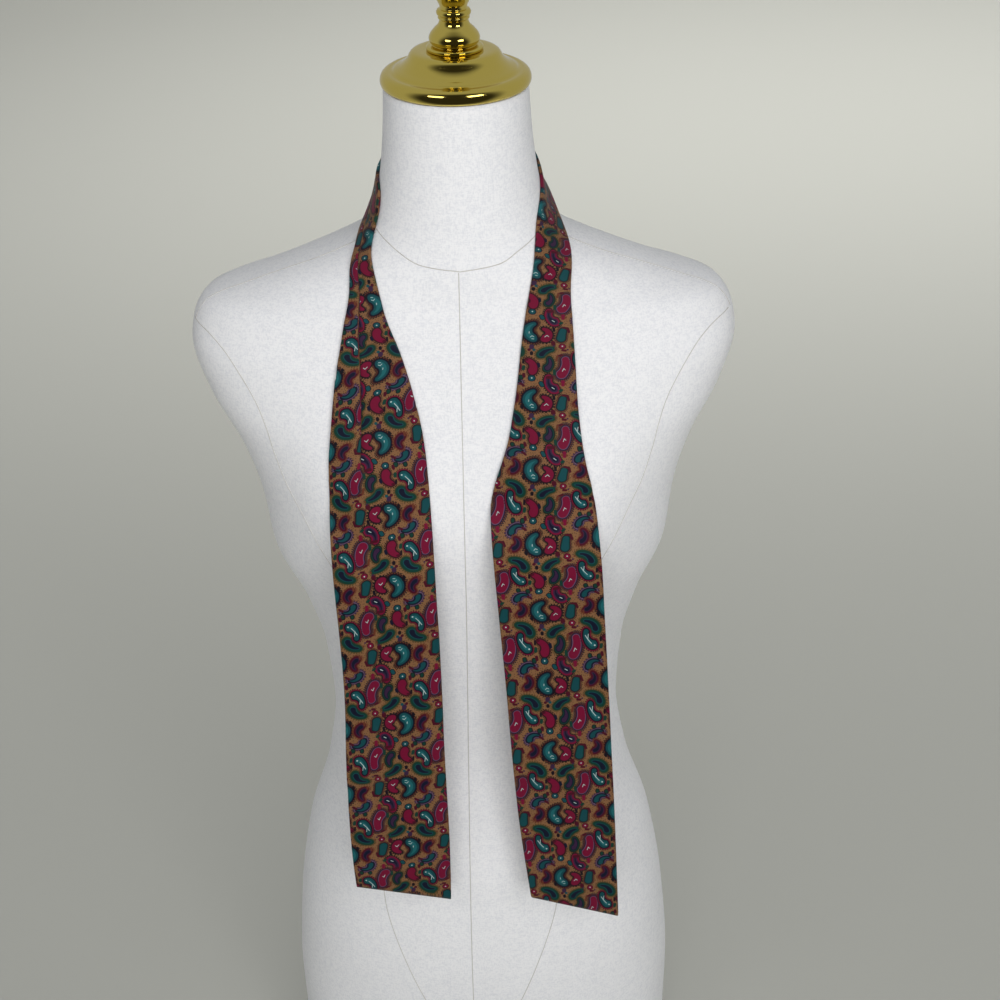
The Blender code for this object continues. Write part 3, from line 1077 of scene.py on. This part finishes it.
# Cloth place along the strip, with each station's slant taken into account.
middle_line = face[:, ACROSS_SAMPLES // 2]
run = np.concatenate([[0.0], np.cumsum(np.linalg.norm(np.diff(middle_line, axis=0), axis=1))])
ahead = np.gradient(middle_line, axis=0)
ahead /= np.linalg.norm(ahead, axis=1, keepdims=True)
lengthwise = run[:, None] + np.einsum("kja,ka->kj", points - middle_line[:, None], ahead)

# The print on the strip, by millimetres of a small repeat. Which repeat lies at each
# distance from the left-hand end is counted; the repeats come closer together
# where the cloth is drawn up towards the neck. Near the left end the print lies askew.
MM = 1000.0
REPEAT_ACROSS_MM = 46.7
REPEAT_ALONG_MM = 61.0
LEFT_SKEW = 0.158
SKEW_FULL = 0.40
SKEW_NONE = 0.52
MIDDLE_OF_PRINT = 0.045
PRINT_ROWS = (
    # distance, repeats
    (0.0, -0.85),
    (0.048, 0.0),
    (0.108, 1.0),
    (0.169, 2.0),
    (0.231, 3.0),
    (0.29, 4.0),
    (0.342, 5.0),
    (0.393, 6.0),
    (0.443, 7.0),
    (0.488, 8.0),
    (0.638, 11.0),
    (0.789, 14.0),
    (0.832, 15.0),
    (0.874, 16.0),
    (0.921, 17.0),
    (0.97, 18.0),
    (1.022, 19.0),
    (1.075, 20.0),
    (1.14, 21.0),
    (1.203, 22.0),
    (1.265, 23.0),
    (1.328, 24.0),
    (1.394, 25.06),
)

repeats = [[smooth_row(PRINT_ROWS, float(at))[0] for at in station] for station in lengthwise]


def print_place(k, j, u):
    """Where this point of the cloth lies on the print, in millimetres."""
    fade = min(1.0, max(0.0, (SKEW_NONE - run[k]) / (SKEW_NONE - SKEW_FULL)))
    across = (MIDDLE_OF_PRINT - u) * MM
    return across, repeats[k][j] * REPEAT_ALONG_MM + LEFT_SKEW * fade * across


scarf_mesh = bpy.data.meshes.new("printed_scarf")
bm = bmesh.new()
cloth_place = bm.loops.layers.uv.new("cloth_mm")
grid = [[bm.verts.new(p) for p in ring] for ring in points]
last_round = loop_size - ROUND_POINTS - 1


def add_cloth_face(corners, on_round=False):
    """A face through loop places (station, column), with its place on the print."""
    made = bm.faces.new([grid[k][j % loop_size] for k, j in corners])
    made.smooth = True
    for loop, (k, j) in zip(made.loops, corners):
        u = spread[k, j % loop_size]
        if j == loop_size:
            u = 0.0
        elif on_round and j == last_round:
            u = -STRIP_THICK * math.pi / 2
        loop[cloth_place].uv = print_place(k, j % loop_size, u)


for k in range(station_count - 1):
    for j in range(loop_size):
        add_cloth_face(((k, j + 1), (k, j), (k + 1, j), (k + 1, j + 1)), j >= last_round)
for k, way in ((0, 1), (station_count - 1, -1)):
    for j in range(columns - 1):
        across = 2 * columns + ROUND_POINTS - 1 - j
        add_cloth_face([(k, j), (k, j + 1), (k, across - 1), (k, across)][::way])
    for start in (columns - 1, last_round):
        add_cloth_face([(k, (start + i) % loop_size) for i in range(ROUND_POINTS + 2)][::way])
bm.to_mesh(scarf_mesh)
bm.free()

# The printed design: a small paisley repeat, charted in millimetres. Across runs
# to the viewer's right and down runs towards the right-hand end of the strip.
EDGE_SOFT_MM = 0.16
LINE_HALF_MM = 0.25
BEADS_AT = 0.6
# Printing colours.
INK_CODES = {
    "ground": "#775539",
    "pin_dot": "#432d20",
    "teal": "#0e4046",
    "light_teal": "#19585d",
    "green": "#0e342a",
    "navy": "#0f1226",
    "crimson": "#680a2c",
    "wine": "#420b1c",
    "plum": "#331e39",
    "lilac": "#5e4a60",
    "ink": "#130e17",
    "ochre": "#443b20",
    "rust": "#5c2f20",
    "white": "#a3b6b7",
}
INKS = {name: srgb(code) for name, code in INK_CODES.items()}

# The curved drops: where head, middle and tip lie, how thick head and tip are and how
# much the waist is drawn in, the band round the drop and its beads, the outline, the
# rim inside it, the body, and the core with its depth under the outline.
DROPS = (
    # head_x, head_y, mid_x, mid_y, tip_x, tip_y, head, tip, waist,
    # band, band_ink, bead_ink, line_ink, rim, rim_ink, body_ink, core_depth, core_ink
    (1.4, 4.8, -2.0, -3.0, 2.0, -8.2, 4.2, 2.6, -0.5,
     1.8, "ink", "rust", "ink", 0.5, "navy", "teal", 2.4, "light_teal"),
    (10.6, 4.6, 12.6, 0.2, 9.4, -3.6, 4.1, 2.0, 0.0,
     0.6, "ink", "ink", "ink", 0.4, "wine", "crimson", 9.0, "crimson"),
    (21.4, 4.6, 21.9, 1.0, 22.6, -2.6, 3.4, 2.8, 0.0,
     0.7, "ink", "rust", "navy", 0.5, "green", "teal", 9.0, "teal"),
    (-8.2, 17.6, -10.8, 12.6, -15.2, 10.8, 4.2, 2.9, 0.0,
     0.8, "ochre", "ochre", "green", 1.3, "green", "teal", 2.2, "navy"),
    (7.8, 19.6, 10.6, 16.4, 14.8, 14.8, 3.6, 2.4, 0.0,
     0.8, "ochre", "ochre", "green", 1.0, "green", "teal", 1.7, "navy"),
    (21.6, 36.8, 24.5, 30.4, 24.4, 23.8, 4.1, 3.1, 0.1,
     1.8, "navy", "rust", "plum", 0.4, "lilac", "crimson", 9.0, "crimson"),
    (1.3, 34.4, 1.7, 29.2, -1.5, 25.4, 3.7, 2.5, 0.0,
     0.7, "ink", "rust", "ink", 0.4, "wine", "crimson", 9.0, "crimson"),
    (11.7, 31.6, 13.7, 27.8, 13.0, 23.6, 3.6, 2.3, 0.0,
     0.7, "ochre", "ochre", "ink", 0.8, "green", "navy", 1.9, "plum"),
    (16.2, 49.6, 12.5, 44.8, 12.7, 40.2, 4.8, 3.1, 0.5,
     0.4, "ink", "ink", "ink", 1.3, "crimson", "plum", 2.7, "navy"),
    (-11.0, 30.0, -14.9, 24.6, -14.8, 19.4, 4.9, 3.0, 0.6,
     0.5, "wine", "wine", "crimson", 1.0, "ink", "teal", 3.2, "light_teal"),
    (-14.6, -12.8, -12.2, -16.8, -7.4, -16.6, 3.5, 1.9, 0.0,
     0.8, "plum", "plum", "lilac", 0.5, "navy", "navy", 1.6, "teal"),
    (-13.4, 0.6, -10.6, -3.2, -12.0, -7.2, 3.4, 2.0, 0.0,
     0.8, "rust", "rust", "wine", 1.0, "wine", "plum", 1.8, "navy"),
)
# Dots and short strokes laid over the drops.
MARKS = (
    # from_x, from_y, to_x, to_y, half_width, ink
    (-1.0, -0.8, -1.1, 0.6, 0.24, "white"),
    (-0.2, 4.1, 0.9, 2.9, 0.22, "white"),
    (0.9, 2.9, 2.2, 3.6, 0.22, "white"),
    (0.8, 5.6, 2.2, 5.8, 0.22, "white"),
    (0.8, 12.6, 0.8, 13.6, 1.7, "plum"),
    (-1.0, 15.6, -1.0, 15.7, 1.2, "wine"),
    (2.4, 15.6, 2.4, 15.7, 1.2, "teal"),
    (0.7, 18.2, 0.7, 19.4, 1.2, "ink"),
    (9.8, 3.6, 11.3, 2.0, 0.24, "white"),
    (11.3, 2.0, 12.5, 3.3, 0.22, "white"),
    (15.8, 8.6, 16.0, 10.0, 1.7, "wine"),
    (22.8, -5.7, 25.9, -5.5, 0.9, "wine"),
    (25.9, -5.5, 26.9, -1.8, 0.9, "wine"),
    (22.3, 11.8, 22.3, 11.9, 2.6, "wine"),
    (22.3, 11.8, 22.3, 11.9, 1.9, "crimson"),
    (22.3, 11.6, 22.3, 11.7, 0.5, "white"),
    (22.2, 34.2, 23.2, 31.8, 0.24, "white"),
    (23.2, 31.8, 24.2, 33.0, 0.22, "white"),
    (21.8, 19.6, 18.8, 21.0, 0.9, "wine"),
    (18.8, 21.0, 18.0, 25.0, 0.8, "rust"),
    (22.6, 43.6, 22.6, 46.0, 1.5, "crimson"),
    (20.9, 45.2, 20.9, 45.3, 0.9, "rust"),
    (24.3, 45.2, 24.3, 45.3, 0.9, "rust"),
    (-2.2, 24.6, -4.8, 24.8, 0.9, "wine"),
    (-4.8, 24.8, -5.0, 27.4, 0.8, "ink"),
    (0.9, 40.9, 0.9, 41.0, 2.9, "navy"),
    (0.9, 40.9, 0.9, 41.0, 2.2, "teal"),
    (0.9, 40.7, 0.9, 40.8, 0.5, "white"),
    (15.0, 48.6, 16.6, 49.8, 0.3, "white"),
    (11.8, 40.0, 15.0, 39.6, 1.3, "wine"),
    (7.4, 45.0, 8.2, 46.8, 1.9, "ink"),
    (7.4, 45.0, 8.2, 46.8, 1.3, "teal"),
    (-15.6, 22.4, -14.0, 25.6, 0.26, "white"),
    (-14.0, 25.6, -11.6, 29.2, 0.26, "white"),
    (-13.4, 21.6, -14.0, 25.2, 0.22, "white"),
    (-9.4, 30.8, -9.4, 30.9, 0.6, "white"),
    (-13.3, -22.4, -13.3, -21.4, 1.7, "ink"),
    (-13.3, -22.4, -13.3, -21.4, 1.1, "green"),
    (-6.6, -21.2, -6.6, -20.2, 1.9, "ink"),
    (-6.6, -21.2, -6.6, -20.2, 1.2, "green"),
    (-6.9, -15.4, -4.6, -13.2, 0.9, "wine"),
    (-16.2, -9.6, -16.2, -9.5, 0.5, "lilac"),
    (-16.0, 1.6, -15.8, 4.4, 0.7, "rust"),
    (27.2, 12.0, 27.2, 12.1, 0.7, "rust"),
    (26.0, 14.6, 26.0, 14.7, 0.7, "plum"),
    (5.0, -13.6, 5.0, -13.5, 0.7, "rust"),
    (16.4, 11.6, 16.4, 11.7, 0.8, "plum"),
    (17.6, 14.0, 17.6, 14.1, 0.7, "rust"),
    (22.6, 15.4, 24.4, 15.6, 1.0, "wine"),
    (-5.2, 3.6, -5.6, 6.2, 1.1, "ink"),
    (-4.6, 30.8, -5.0, 33.0, 1.2, "green"),
    (-4.6, 37.4, -4.4, 39.6, 1.1, "wine"),
    (16.6, 33.6, 16.8, 36.8, 1.0, "green"),
    (5.6, 28.0, 6.0, 30.2, 1.1, "navy"),
    (20.6, -9.6, 21.8, -10.4, 1.1, "green"),
    (16.2, -4.8, 16.6, -2.4, 1.0, "ink"),
)

# What a drop's row gives after its three points, and all that the drop's nodes take.
DROP_COLUMNS = (
    "Head Radius", "Tip Radius", "Waist", "Band", "Band Ink", "Bead Ink",
    "Line Ink", "Rim", "Rim Ink", "Body Ink", "Core Depth", "Core Ink",
)
DROP_LABELS = ["Under", "Cloth", "Head", "Turn", "Side", "Bend", "Length"]
DROP_LABELS += sorted(DROP_COLUMNS, key=lambda label: label.endswith("Ink"))
MARK_LABELS = ["Under", "Cloth", "From", "To", "Half Width", "Ink"]
# From a point's place near a stroke's start to how far inside the stroke's edge it lies.
MARK_SUMS = (
    # result, node, operation, one, other
    ("stroke", "ShaderNodeVectorMath", "SUBTRACT", "To", "From"),
    ("reached", "ShaderNodeVectorMath", "DOT_PRODUCT", "stroke", "place"),
    ("full", "ShaderNodeVectorMath", "DOT_PRODUCT", "stroke", "stroke"),
    ("ratio", "ShaderNodeMath", "DIVIDE", "reached", "full"),
    ("from_start", "ShaderNodeMath", "MAXIMUM", "ratio", 0.0),
    ("share", "ShaderNodeMath", "MINIMUM", "from_start", 1.0),
    ("on_stroke", "ShaderNodeVectorMath", "SCALE", "stroke", "share"),
    ("gap", "ShaderNodeVectorMath", "DISTANCE", "place", "on_stroke"),
    ("inside", "ShaderNodeMath", "SUBTRACT", "half", "gap"),
)
PLACE_LABELS = ["Cloth", "Head", "From", "To"]
BEAD_APART_MM = 1.25
BEAD_RADIUS_MM = 0.42
DOT_OFF_MM = 0.50
DOT_RADIUS_MM = 0.42
# From a point's place near the head to its distance outside the drop's edge and the
# way walked along that edge. The drop's middle line is an arc of a circle.
DROP_SUMS = (
    # result, operation, one, other, third
    ("cosine", "COSINE", "Turn"),
    ("sine", "SINE", "Turn"),
    ("xc", "MULTIPLY", "x", "cosine"),
    ("ahead", "MULTIPLY_ADD", "y", "sine", "xc"),
    ("xs", "MULTIPLY", "x", "sine"),
    ("yc", "MULTIPLY", "y", "cosine"),
    ("left_of", "SUBTRACT", "yc", "xs"),
    ("aside", "MULTIPLY", "left_of", "Side"),
    ("radius", "DIVIDE", 1.0, "Bend"),
    ("to_centre", "SUBTRACT", "radius", "aside"),
    ("swung", "ARCTAN2", "ahead", "to_centre"),
    ("walked", "MULTIPLY", "swung", "radius"),
    ("centre_sq", "MULTIPLY", "to_centre", "to_centre"),
    ("away_sq", "MULTIPLY_ADD", "ahead", "ahead", "centre_sq"),
    ("away", "SQRT", "away_sq"),
    ("off", "SUBTRACT", "radius", "away"),
    ("ratio", "DIVIDE", "walked", "Length"),
    ("from_head", "MAXIMUM", "ratio", 0.0),
    ("share", "MINIMUM", "from_head", 1.0),
    ("on_line", "MULTIPLY", "share", "Length"),
    ("beyond", "SUBTRACT", "walked", "on_line"),
    ("taper", "SUBTRACT", "Tip Radius", "Head Radius"),
    ("straight", "MULTIPLY_ADD", "share", "taper", "Head Radius"),
    ("rest", "SUBTRACT", 1.0, "share"),
    ("bow", "MULTIPLY", "share", "rest"),
    ("drawn_in", "MULTIPLY", "bow", "Waist"),
    ("thick", "MULTIPLY_ADD", "drawn_in", -4.0, "straight"),
    ("off_sq", "MULTIPLY", "off", "off"),
    ("gap_sq", "MULTIPLY_ADD", "beyond", "beyond", "off_sq"),
    ("gap", "SQRT", "gap_sq"),
    ("outside", "SUBTRACT", "gap", "thick"),
    ("one_side", "ABSOLUTE", "off"),
    ("turned", "ARCTAN2", "beyond", "one_side"),
    ("edge_way", "MULTIPLY_ADD", "turned", "gap", "on_line"),
    ("bead_way", "WRAP", "edge_way", BEAD_APART_MM / 2, -BEAD_APART_MM / 2),
    ("bead_out", "MULTIPLY_ADD", "Band", -BEADS_AT, "outside"),
    ("out_sq", "MULTIPLY", "bead_out", "bead_out"),
    ("bead_sq", "MULTIPLY_ADD", "bead_way", "bead_way", "out_sq"),
    ("bead_gap", "SQRT", "bead_sq"),
    ("band_edge", "SUBTRACT", "Band", "outside"),
    ("bead_edge", "SUBTRACT", BEAD_RADIUS_MM, "bead_gap"),
    ("off_band", "SUBTRACT", "outside", "Band"),
    ("dot_out", "SUBTRACT", "off_band", DOT_OFF_MM),
    ("dot_out_sq", "MULTIPLY", "dot_out", "dot_out"),
    ("dot_sq", "MULTIPLY_ADD", "bead_way", "bead_way", "dot_out_sq"),
    ("dot_gap", "SQRT", "dot_sq"),
    ("dot_edge", "SUBTRACT", DOT_RADIUS_MM, "dot_gap"),
    ("line_edge", "SUBTRACT", LINE_HALF_MM, "outside"),
    ("rim_edge", "SUBTRACT", -LINE_HALF_MM, "outside"),
    ("body_edge", "SUBTRACT", "rim_edge", "Rim"),
    ("core_in", "MULTIPLY", "Core Depth", -1.0),
    ("core_edge", "SUBTRACT", "core_in", "outside"),
)
DROP_COATS = (
    # how far inside the coat's edge, ink
    ("dot_edge", "Band Ink"),
    ("band_edge", "Band Ink"),
    ("bead_edge", "Bead Ink"),
    ("line_edge", "Line Ink"),
    ("rim_edge", "Rim Ink"),
    ("body_edge", "Body Ink"),
    ("core_edge", "Core Ink"),
)


def new_group(name, labels):
    """An empty group of shader nodes with these inputs and one colour out."""
    group = bpy.data.node_groups.new(name, "ShaderNodeTree")
    for label in labels:
        kind = "Vector" if label in PLACE_LABELS else "Float"
        if label.endswith(("Under", "Ink")):
            kind = "Color"
        group.interface.new_socket(name=label, in_out="INPUT", socket_type="NodeSocket" + kind)
    group.interface.new_socket(name="Printed", in_out="OUTPUT", socket_type="NodeSocketColor")
    return group, add_node(group, "NodeGroupInput").outputs


def add_coat(group, under, inside, ink):
    """One ink laid over what is there, wherever the point lies inside its edge."""
    parts = (inside, 1 / EDGE_SOFT_MM, 0.5)
    laid = add_node(group, "ShaderNodeMath", parts, operation="MULTIPLY_ADD")
    shades = {"Factor": laid, "A": under, "B": ink}
    return add_node(group, "ShaderNodeMix", shades, data_type="RGBA")


def near_repeat(group, cloth, centre):
    """The way from the nearest repeat of a point of the chart."""
    apart = add_node(group, "ShaderNodeVectorMath", (cloth, centre), operation="SUBTRACT")
    half = (REPEAT_ACROSS_MM / 2, REPEAT_ALONG_MM / 2, 1.0)
    limits = (apart, half, [-size for size in half])
    return add_node(group, "ShaderNodeVectorMath", limits, operation="WRAP")


drop_group, given = new_group("printed_drop", DROP_LABELS)
place = near_repeat(drop_group, given["Cloth"], given["Head"])
split = add_node(drop_group, "ShaderNodeSeparateXYZ", [place])
known = {label: given[label] for label in DROP_LABELS}
known["x"], known["y"] = split.outputs["X"], split.outputs["Y"]
for result, operation, *parts in DROP_SUMS:
    parts = [known.get(part, part) for part in parts]
    known[result] = add_node(drop_group, "ShaderNodeMath", parts, operation=operation)
coat = known["Under"]
for edge, ink in DROP_COATS:
    coat = add_coat(drop_group, coat, known[edge], known[ink])
add_node(drop_group, "NodeGroupOutput", {"Printed": coat})

mark_group, given = new_group("printed_mark", MARK_LABELS)
place = near_repeat(mark_group, given["Cloth"], given["From"])
known = {"To": given["To"], "From": given["From"], "half": given["Half Width"], "place": place}
for result, kind, operation, one, other in MARK_SUMS:
    parts = {0: known.get(one, one), "Scale" if operation == "SCALE" else 1: known.get(other, other)}
    known[result] = add_node(mark_group, kind, parts, operation=operation)
inside = known["inside"]
coat = add_coat(mark_group, given["Under"], inside, given["Ink"])
add_node(mark_group, "NodeGroupOutput", {"Printed": coat})


def arc_through(head, middle, tip):
    """Direction at the head, side, bend and length of the arc through three points."""
    first, second, chord = middle - head, tip - middle, tip - head
    cross = first.x * chord.y - first.y * chord.x
    bend = max(abs(2 * cross / (first.length * second.length * chord.length)), 0.002)
    side = 1.0 if cross > 0 else -1.0
    swings = [2 * math.asin(min(1.0, bend * leg.length / 2)) for leg in (first, second)]
    turn = math.atan2(first.y, first.x) - side * swings[0] / 2
    return turn, side, bend, sum(swings) / bend


printed_twill, tree, shader = add_material("printed_twill")
# Fine twill, printed with small paisley drops on tan and pressed: a soft, nearly matt
# face with a little sheen. Its ribs are drawn at about twice their real spacing. Pin
# dots lie on the ground, under the drops.
PIN_DOT_APART_MM = 1.9
PIN_DOT_RADIUS_MM = 0.34
TWILL_RIB_ACROSS_MM = 1.2
# The wave texture's diagonal bands repeat over this at a scale of 1, along one axis.
WAVE_PERIOD = 0.628
cloth = add_node(tree, "ShaderNodeUVMap", uv_map="cloth_mm").outputs["UV"]
pins = add_node(
    tree,
    "ShaderNodeTexVoronoi",
    {"Vector": cloth, "Scale": 1 / PIN_DOT_APART_MM, "Randomness": 0.8},
    voronoi_dimensions="2D",
    feature="F1",
)
parts = (pins, -PIN_DOT_APART_MM, PIN_DOT_RADIUS_MM)
pin_edge = add_node(tree, "ShaderNodeMath", parts, operation="MULTIPLY_ADD")
coat = add_coat(tree, INKS["ground"], pin_edge, INKS["pin_dot"])
for row in DROPS:
    head, middle, tip = (Vector(row[i : i + 2]) for i in (0, 2, 4))
    inputs = {"Under": coat, "Cloth": cloth, "Head": (*head, 0.0)}
    inputs |= zip(("Turn", "Side", "Bend", "Length"), arc_through(head, middle, tip))
    inputs |= {label: INKS.get(given, given) for label, given in zip(DROP_COLUMNS, row[6:])}
    coat = add_node(tree, "ShaderNodeGroup", inputs, node_tree=drop_group)
for from_x, from_y, to_x, to_y, half_width, ink in MARKS:
    inputs = {"Under": coat, "Cloth": cloth, "From": (from_x, from_y, 0.0)}
    inputs |= {"To": (to_x, to_y, 0.0), "Half Width": half_width, "Ink": INKS[ink]}
    coat = add_node(tree, "ShaderNodeGroup", inputs, node_tree=mark_group)
lines = {"Vector": cloth, "Scale": WAVE_PERIOD / TWILL_RIB_ACROSS_MM, "Distortion": 0.6}
ribs = add_node(
    tree,
    "ShaderNodeTexWave",
    lines | {"Detail": 1.0},
    wave_type="BANDS",
    bands_direction="DIAGONAL",
).outputs["Fac"]
relief = add_node(tree, "ShaderNodeBump", {"Strength": 0.3, "Distance": 0.0001, "Height": ribs})
finish = {"Base Color": coat, "Normal": relief, "Roughness": 0.55, "Specular IOR Level": 0.2}
set_inputs(shader, finish | {"Sheen Weight": 0.05, "Sheen Roughness": 0.4})

scarf = add_piece(
    "printed_scarf",
    scarf_mesh,
    printed_twill,
    "printed_cloth",
    "scarf_left_end",
    "scarf_neck_wrap",
    "scarf_right_end",
)
wall = scarf.modifiers.new("cloth_wall", "SOLIDIFY")
wall.thickness = CLOTH_WALL
wall.offset = -1.0
